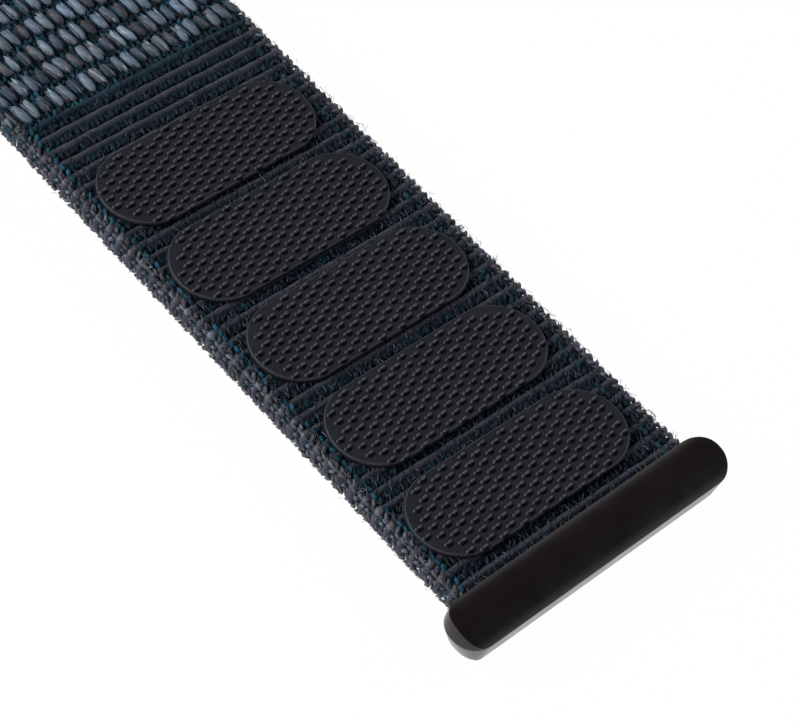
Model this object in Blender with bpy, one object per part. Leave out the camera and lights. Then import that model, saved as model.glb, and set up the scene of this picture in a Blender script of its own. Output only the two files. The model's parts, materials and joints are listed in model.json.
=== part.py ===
"""Woven nylon watch strap with hook pads, a stop bar and quick-release lug frames.

Metres, +Z up. The strap lies along X with its free tip at +X and its outer face up.
It is one woven band in life. Here it is a chain of short pieces, so that it can be
wrapped round a wrist and its tip folded back through the open lug frame.
Run with: blender --background --python part.py
"""

import math

import bmesh
import bpy
from mathutils import Matrix, Vector

MM = 0.001

# Band; the strap's length runs from the tip to the middle of the sewn tunnel
STRAP_LENGTH = 233.0 * MM
BAND_WIDTH = 22.0 * MM
BAND_THICK = 2.3 * MM
BAND_EDGE_RADIUS = 0.9 * MM
BAND_EDGE_STEPS = 3
HINGE_GAP = 0.4 * MM

# Stop bar and the hem that it is moulded round
BAR_WIDTH = 3.5 * MM
BAR_OVERHANG = 1.3 * MM
BAR_SIDE_SHIFT = 0.15 * MM
BAR_BELOW_BAND = 0.5 * MM
BAR_ABOVE_PADS = 0.3 * MM
BAR_EDGE_RADIUS = 1.15 * MM
BAR_EDGE_STEPS = 4
HEM_PIN_RADIUS = 0.45 * MM
HEM_PIN_INSET = 1.0 * MM
HEM_PIN_CLEARANCE = 0.12 * MM
HEM_CLOTH = 0.4 * MM
HEM_TONGUE_THICK = 1.1 * MM
HEM_CLEARANCE = 0.25 * MM

# Hook pads
PAD_COUNT = 5
PAD_MARGIN = 1.65 * MM
PAD_SIDE_SHIFT = -0.3 * MM
PAD_WIDTH = 6.8 * MM
PAD_HEIGHT = 0.45 * MM
PAD_SEAT_GAP = 0.12 * MM
PAD_EDGE_RADIUS = 0.12 * MM
PAD_SIDES = 40
PAD_TO_BAR = 1.68 * MM
PAD_SPACING = 1.79 * MM
PAD_SPACING_DRIFT = 0.24 * MM
PAD_ZONE_MARGIN = 1.26 * MM

# Lug frames and the spring bars in them
LUG_CLEARANCE = 0.2 * MM
ROD_RADIUS = 0.9 * MM
BARREL_RADIUS = 1.5 * MM
ARM_THICK = 1.35 * MM
ARM_INSET = 0.05 * MM
SLOT_SIDE_CLEARANCE = 0.4 * MM
ROD_CLEARANCE = 0.3 * MM
BARREL_CLEARANCE = 0.7 * MM
TUNNEL_WALL = 1.0 * MM
TUNNEL_CLEARANCE = 0.2 * MM
BORE_CLEARANCE = 0.15 * MM
TUBE_RADIUS = 0.9 * MM
TUBE_WALL = 0.28 * MM
TUBE_SHORT_OF_BARREL = 0.2 * MM
TUBE_LIP_LENGTH = 0.4 * MM
PLUNGER_SHANK_RADIUS = 0.54 * MM
PLUNGER_SHANK_LENGTH = 5.5 * MM
PLUNGER_TIP_RADIUS = 0.38 * MM
PLUNGER_REACH = 1.2 * MM
PLUNGER_TRAVEL = 1.3 * MM
PLUNGER_LIP_CLEARANCE = 0.1 * MM
KNOB_RADIUS = 0.35 * MM
KNOB_CLEARANCE = 0.1 * MM
KNOB_PROUD = 0.9 * MM
KNOB_HEAD_RADIUS = 0.7 * MM
KNOB_HEAD_THICK = 0.4 * MM
SPRING_WIRE_RADIUS = 0.08 * MM
SPRING_TURNS = 10
SPRING_POINTS_A_TURN = 8
SPRING_END_GAP = 0.15 * MM

# Lengths along the band
PATTERN_START_STEP = 9.4 * MM
FLAT_STEP = 9.0 * MM
RAMP_STEP = 10.0 * MM
SEAT_LENGTH = 11.1 * MM
WRAP_COUNT = 10
END_LENGTH = 12.0 * MM
HINGE_SHIFT = 0.5 * MM

CUT_OVERRUN = 1.0 * MM
ROUND_SIDES = 24
SMALL_SIDES = 16
ROUND_PROFILE = 0.5

FABRIC = ((0.035, 0.045, 0.065), 0.9, 0.0)
HOOK_PLASTIC = ((0.018, 0.020, 0.026), 0.5, 0.0)
BAR_PLASTIC = ((0.012, 0.009, 0.011), 0.35, 0.0)
FRAME_STEEL = ((0.10, 0.10, 0.11), 0.3, 1.0)
BRIGHT_STEEL = ((0.60, 0.60, 0.61), 0.25, 1.0)
SPRING_STEEL = ((0.45, 0.45, 0.46), 0.3, 1.0)

# Derived sizes
BAR_LENGTH = BAND_WIDTH + 2 * BAR_OVERHANG
BAR_HEIGHT = BAR_BELOW_BAND + BAND_THICK + PAD_HEIGHT + BAR_ABOVE_PADS
HEM_PIN_LENGTH = BAND_WIDTH - 2 * HEM_PIN_INSET
PAD_LENGTH = BAND_WIDTH - 2 * PAD_MARGIN
PAD_FIRST = BAR_WIDTH + PAD_TO_BAR + PAD_WIDTH / 2
PAD_ZONE_TAIL = PAD_WIDTH / 2 + PAD_ZONE_MARGIN
CHANNEL = 2 * ROD_RADIUS + 2 * ROD_CLEARANCE
ROD_ABOVE_BAND = ROD_RADIUS + ROD_CLEARANCE
FRAME_REACH = ROD_ABOVE_BAND + BAND_THICK + BARREL_CLEARANCE + BARREL_RADIUS
BARREL_LENGTH = BAND_WIDTH + 2 * (SLOT_SIDE_CLEARANCE + ARM_THICK + ARM_INSET)
LUG_GAP = BARREL_LENGTH + 2 * LUG_CLEARANCE
BORE_RADIUS = TUBE_RADIUS + BORE_CLEARANCE
TUBE_BORE_RADIUS = TUBE_RADIUS - TUBE_WALL
TUBE_LENGTH = BARREL_LENGTH - 2 * TUBE_SHORT_OF_BARREL
TUNNEL_BORE_RADIUS = ROD_RADIUS + TUNNEL_CLEARANCE
TUNNEL_RADIUS = TUNNEL_BORE_RADIUS + TUNNEL_WALL
KNOB_REACH = BARREL_RADIUS + KNOB_PROUD
HEM_RADIUS = HEM_PIN_RADIUS + HEM_PIN_CLEARANCE + HEM_CLOTH

TIP_FLOOR = BAR_BELOW_BAND
RING_FLOOR = 2 * BARREL_RADIUS + BARREL_CLEARANCE
WRAP_FLOOR = TUNNEL_RADIUS - BAND_THICK / 2


def pad_place(index):
    """Distance from the tip to a pad's centre; the pads close up away from the tip."""
    middle = (PAD_COUNT - 2) / 2
    steps = [PAD_SPACING + PAD_SPACING_DRIFT * (middle - i) for i in range(index)]
    return PAD_FIRST + index * PAD_WIDTH + sum(steps)


def tip_hinges():
    """Distances from the tip to the hinges between the pieces of the free end."""
    places = [(pad_place(i) + pad_place(i + 1)) / 2 for i in range(PAD_COUNT - 1)]
    places.append(pad_place(PAD_COUNT - 1) + PAD_ZONE_TAIL)
    for step in (PATTERN_START_STEP, FLAT_STEP, RAMP_STEP, RAMP_STEP):
        places.append(places[-1] + step)
    return places


TIP_HINGES = tip_hinges()
KNEE = TIP_HINGES[-3]
FOLD_OUTER = TIP_HINGES[-1]
FOLD_INNER = FOLD_OUTER + CHANNEL
WRAP_START = FOLD_INNER + SEAT_LENGTH
WRAP_STEP = (STRAP_LENGTH - END_LENGTH - WRAP_START) / (WRAP_COUNT - 1)
WRAP_HINGES = [WRAP_START + i * WRAP_STEP for i in range(WRAP_COUNT)]
END_ROD_HEIGHT = TUNNEL_RADIUS
END_TILT = math.asin((KNOB_REACH - END_ROD_HEIGHT) / FRAME_REACH)
TOTAL_LENGTH = STRAP_LENGTH + FRAME_REACH * math.cos(END_TILT) + BARREL_RADIUS
TIP_X = TOTAL_LENGTH / 2


def along(distance):
    """X of a place given by its distance from the tip."""
    return TIP_X - distance


def floor_height(distance):
    """Height of the band's underside: it drapes over the open frame's barrel."""
    knees = (
        (0.0, TIP_FLOOR),
        (KNEE, TIP_FLOOR),
        (FOLD_OUTER, RING_FLOOR),
        (WRAP_HINGES[0], RING_FLOOR),
        (WRAP_HINGES[1], WRAP_FLOOR),
        (STRAP_LENGTH, WRAP_FLOOR),
    )
    for (start, low), (end, high) in zip(knees, knees[1:]):
        if distance <= end:
            return low + (high - low) * (distance - start) / (end - start)
    return WRAP_FLOOR


def clear_scene():
    for item in list(bpy.data.objects):
        bpy.data.objects.remove(item)


def new_collection(name):
    made = bpy.data.collections.new(name)
    bpy.context.scene.collection.children.link(made)
    return made


def material(name, look):
    colour, roughness, metallic = look
    made = bpy.data.materials.new(name)
    made.use_nodes = True
    shader = made.node_tree.nodes["Principled BSDF"]
    shader.inputs["Base Color"].default_value = (*colour, 1.0)
    shader.inputs["Roughness"].default_value = roughness
    shader.inputs["Metallic"].default_value = metallic
    made.diffuse_color = (*colour, 1.0)
    return made


def joint_empty(name, place, parent=None, turn=None):
    """An empty on a joint's axis, given in world coordinates."""
    empty = bpy.data.objects.new(name, None)
    empty.empty_display_size = BAND_THICK
    PARTS.objects.link(empty)
    world = Matrix.Translation(place)
    if turn is not None:
        world = world @ turn
    empty.parent = parent
    WORLD[name] = world
    base = WORLD[parent.name] if parent else Matrix.Identity(4)
    empty.matrix_local = base.inverted() @ world
    return empty


def add_object(name, shape, look, carrier, local=False):
    """Makes an object of a bmesh. Its origin is its carrier's; a local shape is already there."""
    if carrier is not None and not local:
        shape.transform(WORLD[carrier.name].inverted())
    mesh = bpy.data.meshes.new(name)
    shape.to_mesh(mesh)
    shape.free()
    mesh.shade_smooth()
    mesh.set_sharp_from_angle(angle=math.radians(35))
    made = bpy.data.objects.new(name, mesh)
    made.parent = carrier
    if look is None:
        CUTTERS.objects.link(made)
        made.hide_render = True
        made.display_type = "WIRE"
    else:
        PARTS.objects.link(made)
        mesh.materials.append(look)
    return made


def combine(target, other, operation):
    step = target.modifiers.new(other.name, "BOOLEAN")
    step.operation = operation
    step.solver = "EXACT"
    step.object = other
    return step


def block(low, high):
    """A box between two corners."""
    shape = bmesh.new()
    bmesh.ops.create_cube(shape, size=1.0)
    size = Vector(high) - Vector(low)
    middle = (Vector(high) + Vector(low)) / 2
    bmesh.ops.scale(shape, vec=size, verts=shape.verts)
    bmesh.ops.translate(shape, vec=middle, verts=shape.verts)
    return shape


def cylinder_y(radius, length, middle, sides=ROUND_SIDES):
    """A cylinder along Y, turned half a side so that a flat faces each way."""
    shape = bmesh.new()
    bmesh.ops.create_cone(
        shape, cap_ends=True, segments=sides, radius1=radius, radius2=radius, depth=length
    )
    turn = Matrix.Rotation(math.pi / sides, 3, "Z")
    bmesh.ops.rotate(shape, cent=(0, 0, 0), matrix=turn, verts=shape.verts)
    turn = Matrix.Rotation(math.pi / 2, 3, "X")
    bmesh.ops.rotate(shape, cent=(0, 0, 0), matrix=turn, verts=shape.verts)
    bmesh.ops.translate(shape, vec=middle, verts=shape.verts)
    return shape


def cylinder_z(radius, low, high, middle, sides=SMALL_SIDES):
    shape = bmesh.new()
    bmesh.ops.create_cone(
        shape, cap_ends=True, segments=sides, radius1=radius, radius2=radius, depth=high - low
    )
    place = Vector((middle[0], middle[1], (low + high) / 2))
    bmesh.ops.translate(shape, vec=place, verts=shape.verts)
    return shape


def round_long_edges(shape, radius, steps):
    """Rounds the edges that run along the band."""
    edges = []
    for edge in shape.edges:
        run = edge.verts[0].co - edge.verts[1].co
        if abs(run.x) > abs(run.y) and len(edge.link_faces) == 2:
            edges.append(edge)
    bmesh.ops.bevel(
        shape, geom=edges, offset=radius, segments=steps, profile=ROUND_PROFILE, affect="EDGES"
    )


def band_shape(start, end):
    """One stretch of band between two distances from the tip, following the drape."""
    near = along(start)
    far = along(end)
    half = BAND_WIDTH / 2
    shape = block((far, -half, 0), (near, half, BAND_THICK))
    middle = (near + far) / 2
    for vert in shape.verts:
        place = start if vert.co.x > middle else end
        vert.co.z += floor_height(place)
    round_long_edges(shape, BAND_EDGE_RADIUS, BAND_EDGE_STEPS)
    return shape


def hinge_place(distance, kind):
    """A hinge line's height: on the outer face at the fold, near the face that closes elsewhere."""
    low = floor_height(distance)
    middle = low + BAND_THICK / 2
    heights = {"fold": low + BAND_THICK, "tip": middle + HINGE_SHIFT, "wrap": middle - HINGE_SHIFT}
    return Vector((along(distance), 0, heights[kind]))


def hem(end_piece, carrier, fabric):
    """The thinned end of the band, sewn round a pin inside the stop bar."""
    pin_middle = hem_middle()
    half_tongue = HEM_TONGUE_THICK / 2
    half_width = HEM_PIN_LENGTH / 2
    band_face = along(BAR_WIDTH + HEM_CLEARANCE)
    low = (band_face - CUT_OVERRUN, -half_width, pin_middle.z - half_tongue)
    high = (pin_middle.x, half_width, pin_middle.z + half_tongue)
    tongue = add_object("hem_tongue_join", block(low, high), None, carrier)
    combine(end_piece, tongue, "UNION")
    loop = cylinder_y(HEM_RADIUS, HEM_PIN_LENGTH, pin_middle)
    combine(end_piece, add_object("hem_loop_join", loop, None, carrier), "UNION")
    hole = cylinder_y(
        HEM_PIN_RADIUS + HEM_PIN_CLEARANCE, HEM_PIN_LENGTH + 2 * CUT_OVERRUN, pin_middle
    )
    combine(end_piece, add_object("hem_hole_cut", hole, None, carrier), "DIFFERENCE")


def hem_middle():
    return Vector((along(BAR_WIDTH / 2), 0, BAR_HEIGHT / 2))


def stop_bar(carrier, plastic):
    """The moulded bar across the tip, with a keyhole slot that holds the hem."""
    left = BAR_SIDE_SHIFT - BAR_LENGTH / 2
    right = BAR_SIDE_SHIFT + BAR_LENGTH / 2
    shape = block((along(BAR_WIDTH), left, 0), (along(0), right, BAR_HEIGHT))
    bmesh.ops.bevel(
        shape,
        geom=list(shape.edges),
        offset=BAR_EDGE_RADIUS,
        segments=BAR_EDGE_STEPS,
        profile=ROUND_PROFILE,
        affect="EDGES",
    )
    bar = add_object("stop_bar", shape, plastic, carrier)
    middle = hem_middle()
    socket_length = HEM_PIN_LENGTH + 2 * HEM_CLEARANCE
    socket = cylinder_y(HEM_RADIUS + HEM_CLEARANCE, socket_length, middle)
    combine(bar, add_object("hem_socket_cut", socket, None, carrier), "DIFFERENCE")
    half_slot = HEM_TONGUE_THICK / 2 + HEM_CLEARANCE
    low = (along(BAR_WIDTH) - CUT_OVERRUN, -socket_length / 2, middle.z - half_slot)
    high = (middle.x, socket_length / 2, middle.z + half_slot)
    slot = add_object("hem_slot_cut", block(low, high), None, carrier)
    combine(bar, slot, "DIFFERENCE")


def hem_pin(carrier, steel):
    shape = cylinder_y(HEM_PIN_RADIUS, HEM_PIN_LENGTH, hem_middle(), SMALL_SIDES)
    add_object("hem_pin", shape, steel, carrier)


def hook_pad(index, carrier, plastic):
    """A moulded pad with half-round ends, lying on the band's outer face."""
    radius = PAD_WIDTH / 2
    low = TIP_FLOOR + BAND_THICK + PAD_SEAT_GAP
    high = TIP_FLOOR + BAND_THICK + PAD_HEIGHT
    shape = cylinder_z(radius, low, high, (0, 0), PAD_SIDES)
    turn = Matrix.Rotation(math.pi / PAD_SIDES, 3, "Z")
    bmesh.ops.rotate(shape, cent=(0, 0, 0), matrix=turn, verts=shape.verts)
    for vert in shape.verts:
        vert.co.y += math.copysign(PAD_LENGTH / 2 - radius, vert.co.y) + PAD_SIDE_SHIFT
        vert.co.x += along(pad_place(index))
    top = [edge for edge in shape.edges if min(v.co.z for v in edge.verts) > (low + high) / 2]
    bmesh.ops.bevel(
        shape, geom=top, offset=PAD_EDGE_RADIUS, segments=1, profile=ROUND_PROFILE, affect="EDGES"
    )
    add_object("hook_pad_%d" % (index + 1), shape, plastic, carrier)


def frame_arm(side):
    """One side of a lug frame, a plate that joins the rod's end to the barrel."""
    outer = side * (BARREL_LENGTH / 2 - ARM_INSET)
    middle = outer - side * ARM_THICK / 2
    shape = cylinder_y(BARREL_RADIUS - ARM_INSET, ARM_THICK, (FRAME_REACH, middle, 0))
    rod_end = cylinder_y(ROD_RADIUS + ARM_INSET, ARM_THICK, (0, middle, 0))
    spare = bpy.data.meshes.new("arm_round_end")
    rod_end.to_mesh(spare)
    rod_end.free()
    shape.from_mesh(spare)
    bpy.data.meshes.remove(spare)
    hull = bmesh.ops.convex_hull(shape, input=list(shape.verts))
    inside = {v for v in hull["geom_interior"] if isinstance(v, bmesh.types.BMVert)}
    bmesh.ops.delete(shape, geom=list(inside), context="VERTS")
    outer_faces = set(f for f in hull["geom"] if isinstance(f, bmesh.types.BMFace))
    rest = [f for f in shape.faces if f not in outer_faces]
    bmesh.ops.delete(shape, geom=rest, context="FACES_ONLY")
    bmesh.ops.recalc_face_normals(shape, faces=list(shape.faces))
    return shape


def lug_frame(name, carrier, steel):
    """Rod, two arms and a bored barrel. Local X runs from rod to barrel, -Z is the skin side."""
    barrel = cylinder_y(BARREL_RADIUS, BARREL_LENGTH, (FRAME_REACH, 0, 0))
    frame = add_object(name, barrel, steel, carrier, local=True)
    for side, word in ((-1, "right"), (1, "left")):
        arm = frame_arm(side)
        arm = add_object("%s_%s_arm_join" % (name, word), arm, None, carrier, local=True)
        combine(frame, arm, "UNION")
    rod_length = BARREL_LENGTH - ARM_THICK
    rod = cylinder_y(ROD_RADIUS, rod_length, (0, 0, 0))
    combine(frame, add_object(name + "_rod_join", rod, None, carrier, local=True), "UNION")
    bore = cylinder_y(BORE_RADIUS, BARREL_LENGTH + 2 * CUT_OVERRUN, (FRAME_REACH, 0, 0))
    combine(frame, add_object(name + "_bore_cut", bore, None, carrier, local=True), "DIFFERENCE")
    slot = add_object(name + "_knob_slot_cut", knob_slot(), None, carrier, local=True)
    combine(frame, slot, "DIFFERENCE")


def knob_middle():
    """Distance along Y of the release knob at rest."""
    return TUBE_LENGTH / 2 - TUBE_LIP_LENGTH - PLUNGER_LIP_CLEARANCE - PLUNGER_SHANK_LENGTH / 2


def knob_slot():
    """The slot that the knob slides in, through the barrel's and the tube's skin side."""
    half = KNOB_RADIUS + KNOB_CLEARANCE
    start = knob_middle() - PLUNGER_TRAVEL - half
    end = knob_middle() + half
    low = (FRAME_REACH - half, start, -BARREL_RADIUS - CUT_OVERRUN)
    high = (FRAME_REACH + half, end, 0)
    return block(low, high)


def spring_bar_tube(name, carrier, steel):
    middle = (FRAME_REACH, 0, 0)
    tube = cylinder_y(TUBE_RADIUS, TUBE_LENGTH, middle, SMALL_SIDES)
    made = add_object(name + "_tube", tube, steel, carrier, local=True)
    bore_length = TUBE_LENGTH - 2 * TUBE_LIP_LENGTH
    bore = cylinder_y(TUBE_BORE_RADIUS, bore_length, middle, SMALL_SIDES)
    combine(made, add_object(name + "_bore_cut", bore, None, carrier, local=True), "DIFFERENCE")
    lip_radius = (PLUNGER_SHANK_RADIUS + PLUNGER_TIP_RADIUS) / 2
    lip = cylinder_y(lip_radius, TUBE_LENGTH + 2 * CUT_OVERRUN, middle, SMALL_SIDES)
    combine(made, add_object(name + "_lip_cut", lip, None, carrier, local=True), "DIFFERENCE")
    slot = add_object(name + "_tube_slot_cut", knob_slot(), None, carrier, local=True)
    combine(made, slot, "DIFFERENCE")


def plunger(name, side, carrier, steel, with_knob):
    """A sprung tip of the bar. The one with the knob is drawn back by a fingernail."""
    outer = TUBE_LENGTH / 2 - TUBE_LIP_LENGTH - PLUNGER_LIP_CLEARANCE
    middle = (FRAME_REACH, side * (outer - PLUNGER_SHANK_LENGTH / 2), 0)
    shank = cylinder_y(PLUNGER_SHANK_RADIUS, PLUNGER_SHANK_LENGTH, middle, SMALL_SIDES)
    made = add_object(name, shank, steel, carrier, local=True)
    reach = LUG_GAP / 2 + PLUNGER_REACH
    tip_start = outer - PLUNGER_SHANK_LENGTH / 2
    tip_middle = (FRAME_REACH, side * (reach + tip_start) / 2, 0)
    tip = cylinder_y(PLUNGER_TIP_RADIUS, reach - tip_start, tip_middle, SMALL_SIDES)
    combine(made, add_object(name + "_tip_join", tip, None, carrier, local=True), "UNION")
    if not with_knob:
        return
    place = (FRAME_REACH, side * knob_middle())
    stem = cylinder_z(KNOB_RADIUS, -KNOB_REACH + KNOB_HEAD_THICK / 2, 0, place)
    combine(made, add_object(name + "_stem_join", stem, None, carrier, local=True), "UNION")
    head = cylinder_z(KNOB_HEAD_RADIUS, -KNOB_REACH, -KNOB_REACH + KNOB_HEAD_THICK, place)
    combine(made, add_object(name + "_head_join", head, None, carrier, local=True), "UNION")


def bar_spring(name, carrier, steel):
    """The coil between the two plungers, a wire along a helix."""
    outer = TUBE_LENGTH / 2 - TUBE_LIP_LENGTH - PLUNGER_LIP_CLEARANCE
    half = outer - PLUNGER_SHANK_LENGTH - SPRING_END_GAP - SPRING_WIRE_RADIUS
    radius = PLUNGER_SHANK_RADIUS - SPRING_WIRE_RADIUS
    count = SPRING_TURNS * SPRING_POINTS_A_TURN + 1
    curve = bpy.data.curves.new(name, "CURVE")
    curve.dimensions = "3D"
    curve.bevel_depth = SPRING_WIRE_RADIUS
    curve.bevel_resolution = 1
    curve.use_fill_caps = True
    spline = curve.splines.new("POLY")
    spline.points.add(count - 1)
    for i, point in enumerate(spline.points):
        angle = 2 * math.pi * i / SPRING_POINTS_A_TURN
        y = -half + 2 * half * i / (count - 1)
        x = FRAME_REACH + radius * math.cos(angle)
        point.co = (x, y, radius * math.sin(angle), 1)
    curve.materials.append(steel)
    made = bpy.data.objects.new(name, curve)
    made.parent = carrier
    PARTS.objects.link(made)


def lug_assembly(word, carrier, looks):
    """A lug frame with its quick-release spring bar."""
    lug_frame("lug_frame_" + word, carrier, looks["frame"])
    bar = word + "_bar"
    spring_bar_tube(bar, carrier, looks["bright"])
    bar_spring(bar + "_spring", carrier, looks["spring"])
    place = WORLD[carrier.name].translation
    turn = WORLD[carrier.name].to_3x3().to_4x4()
    release = joint_empty(bar + "_release_slide", place, carrier, turn)
    plunger(bar + "_release_plunger", 1, release, looks["bright"], True)
    plain = joint_empty(bar + "_plain_slide", place, carrier, turn)
    plunger(bar + "_plain_plunger", -1, plain, looks["bright"], False)


def band_tip_side(seat, looks):
    """The free end: the fold block, then the pieces out to the stop bar."""
    half = HINGE_GAP / 2
    fold = joint_empty("fold_hinge", hinge_place(FOLD_INNER, "fold"), seat)
    shape = band_shape(FOLD_OUTER + half, FOLD_INNER - half)
    add_object("band_fold", shape, looks["fabric"], fold)
    carrier = fold
    starts = [BAR_WIDTH + HEM_CLEARANCE] + [place + half for place in TIP_HINGES[:-1]]
    for index in reversed(range(len(TIP_HINGES))):
        distance = TIP_HINGES[index]
        kind = "fold" if distance == FOLD_OUTER else "tip"
        carrier = joint_empty("tip_hinge_%d" % (index + 1), hinge_place(distance, kind), carrier)
        shape = band_shape(starts[index], distance - half)
        piece = add_object("band_tip_%d" % (index + 1), shape, looks["fabric"], carrier)
        if index < PAD_COUNT:
            hook_pad(index, carrier, looks["hooks"])
    hem(piece, carrier, looks["fabric"])
    hem_pin(carrier, looks["bright"])
    stop_bar(carrier, looks["bar"])


def band_wrap_side(seat, looks):
    """The stretch that goes round the wrist, and the sewn tunnel at its end."""
    half = HINGE_GAP / 2
    carrier = seat
    for index, distance in enumerate(WRAP_HINGES):
        last = index == len(WRAP_HINGES) - 1
        end = STRAP_LENGTH if last else WRAP_HINGES[index + 1] - half
        name = "wrap_hinge_%d" % (index + 1)
        carrier = joint_empty(name, hinge_place(distance, "wrap"), carrier)
        shape = band_shape(distance + half, end)
        name = "band_end" if last else "band_wrap_%d" % (index + 1)
        piece = add_object(name, shape, looks["fabric"], carrier)
    tunnel_middle = Vector((along(STRAP_LENGTH), 0, END_ROD_HEIGHT))
    tunnel_width = BAND_WIDTH - 2 * HEM_CLEARANCE
    tunnel = cylinder_y(TUNNEL_RADIUS, tunnel_width, tunnel_middle)
    combine(piece, add_object("tunnel_join", tunnel, None, carrier), "UNION")
    hole = cylinder_y(TUNNEL_BORE_RADIUS, BAND_WIDTH + 2 * CUT_OVERRUN, tunnel_middle)
    combine(piece, add_object("tunnel_hole_cut", hole, None, carrier), "DIFFERENCE")
    return carrier, tunnel_middle


def build_strap():
    looks = {
        "fabric": material("woven_nylon", FABRIC),
        "hooks": material("hook_plastic", HOOK_PLASTIC),
        "bar": material("bar_plastic", BAR_PLASTIC),
        "frame": material("frame_steel", FRAME_STEEL),
        "bright": material("bright_steel", BRIGHT_STEEL),
        "spring": material("spring_steel", SPRING_STEEL),
    }
    seat = joint_empty("strap", Vector((0, 0, 0)))
    half = HINGE_GAP / 2
    shape = band_shape(FOLD_INNER + half, WRAP_HINGES[0] - half)
    add_object("band_ring_seat", shape, looks["fabric"], seat)
    band_tip_side(seat, looks)
    last, tunnel_middle = band_wrap_side(seat, looks)

    rod_x = along(FOLD_INNER + ROD_ABOVE_BAND)
    rod_z = RING_FLOOR + BAND_THICK + ROD_ABOVE_BAND
    hanging = Matrix.Rotation(math.pi / 2, 4, "Y")
    ring = joint_empty("open_frame_swing", Vector((rod_x, 0, rod_z)), seat, hanging)
    lug_assembly("open", ring, looks)
    lying = Matrix.Rotation(math.pi, 4, "Z") @ Matrix.Rotation(-END_TILT, 4, "Y")
    fixed = joint_empty("end_frame_pivot", tunnel_middle, last, lying)
    lug_assembly("end", fixed, looks)


WORLD = {}
clear_scene()
PARTS = new_collection("watch_strap")
CUTTERS = new_collection("cutters")
build_strap()
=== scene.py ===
"""Looks of a woven nylon watch strap: the cloth, its hook pads, the stop bar and the steel lug frames.

Metres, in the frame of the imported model: X along the strap with the free tip at +X, Z up, outer face up.
A distance is measured along the strap from the free tip.
"""

import json
import math

import bmesh
import bpy
from mathutils import Matrix, Quaternion, Vector

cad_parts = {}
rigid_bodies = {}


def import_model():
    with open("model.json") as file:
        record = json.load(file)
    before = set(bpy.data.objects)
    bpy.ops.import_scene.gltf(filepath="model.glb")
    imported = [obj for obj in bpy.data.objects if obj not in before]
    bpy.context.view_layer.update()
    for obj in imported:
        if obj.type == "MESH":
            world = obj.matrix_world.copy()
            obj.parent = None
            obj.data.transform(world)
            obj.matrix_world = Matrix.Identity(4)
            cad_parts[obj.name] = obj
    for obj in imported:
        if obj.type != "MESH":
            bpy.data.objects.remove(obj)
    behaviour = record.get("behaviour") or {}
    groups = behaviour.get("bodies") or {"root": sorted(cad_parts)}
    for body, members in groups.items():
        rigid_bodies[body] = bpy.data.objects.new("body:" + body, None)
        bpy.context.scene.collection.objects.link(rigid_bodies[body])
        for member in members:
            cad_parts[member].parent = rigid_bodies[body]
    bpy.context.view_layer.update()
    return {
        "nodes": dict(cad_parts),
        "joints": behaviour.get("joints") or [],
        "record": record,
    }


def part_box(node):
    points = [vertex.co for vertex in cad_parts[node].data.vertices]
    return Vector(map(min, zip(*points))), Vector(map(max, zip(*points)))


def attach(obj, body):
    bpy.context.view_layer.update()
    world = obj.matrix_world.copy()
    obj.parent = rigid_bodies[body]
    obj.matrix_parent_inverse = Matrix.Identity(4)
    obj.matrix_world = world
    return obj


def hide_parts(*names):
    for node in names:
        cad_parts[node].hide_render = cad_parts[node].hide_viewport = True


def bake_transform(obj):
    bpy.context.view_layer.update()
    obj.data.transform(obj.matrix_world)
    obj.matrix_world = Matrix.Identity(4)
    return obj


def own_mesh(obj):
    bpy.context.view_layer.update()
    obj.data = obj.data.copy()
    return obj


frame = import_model()

MM = 0.001

# Places and sizes of the solid pieces
BAR_LOW, BAR_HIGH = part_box("stop_bar")
TIP = BAR_HIGH.x
BAR_INNER = TIP - BAR_LOW.x
FLAT_LOW, FLAT_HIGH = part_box("band_tip_2")
BAND_WIDTH = FLAT_HIGH.y - FLAT_LOW.y
BAND_THICK = FLAT_HIGH.z - FLAT_LOW.z
TIP_FLOOR = FLAT_LOW.z
RING_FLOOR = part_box("band_ring_seat")[0].z
WRAP_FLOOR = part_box("band_wrap_5")[0].z
JOINTS = {joint["name"]: joint for joint in frame["joints"]}


def distance_of(joint):
    """Distance from the tip to a hinge of the band."""
    return TIP - JOINTS[joint]["pos_m"][0]


KNEE = distance_of("flap_straighten")
FOLD_OUTER = distance_of("flap_turn")
SEAT_END = distance_of("wrap_curl")
WRAP_START = distance_of("wrap_bend_2")
STRAP_END = TIP - JOINTS["end_frame_pivot"]["pos_m"][0]

# The photograph's view
CAMERA_PLACE = Vector((171.70, -97.77, 159.09)) * MM
CAMERA_AIM = Vector((99.73, -1.42, 3.25)) * MM
CAMERA_ROLL = math.radians(15.05)
CAMERA_LENS = 126.45
SENSOR_WIDTH = 36.0

# Weave
RIB_PITCH = 1.29 * MM
ROW_PITCH = 2.17 * MM
PATTERN_START = 52.55 * MM
GROOVE_DEPTH = 0.34 * MM
EDGE_RADIUS = 0.9 * MM
STEPS_A_RIB = 9
POINTS_AROUND = 104
WARP_COLUMNS = 44
NAP_COLUMNS = 96
FUZZ_COLUMNS = 30
NAP_END = 47.0 * MM

# Dyes of the yarns, as places on one scale of colours
DYES = (
    (0.00, (0.009, 0.019, 0.030)),
    (0.15, (0.010, 0.026, 0.044)),
    (0.30, (0.013, 0.045, 0.067)),
    (0.45, (0.016, 0.110, 0.185)),
    (0.60, (0.100, 0.092, 0.110)),
    (0.70, (0.150, 0.146, 0.172)),
    (0.80, (0.160, 0.225, 0.315)),
    (0.90, (0.240, 0.320, 0.410)),
    (1.00, (0.460, 0.520, 0.580)),
)


def summed(operation, swapped=False):
    """A method that works out one sum of two values with a node."""

    def method(self, other):
        pair = (other, self) if swapped else (self, other)
        return self.graph.math(operation, *pair)

    return method


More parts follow.
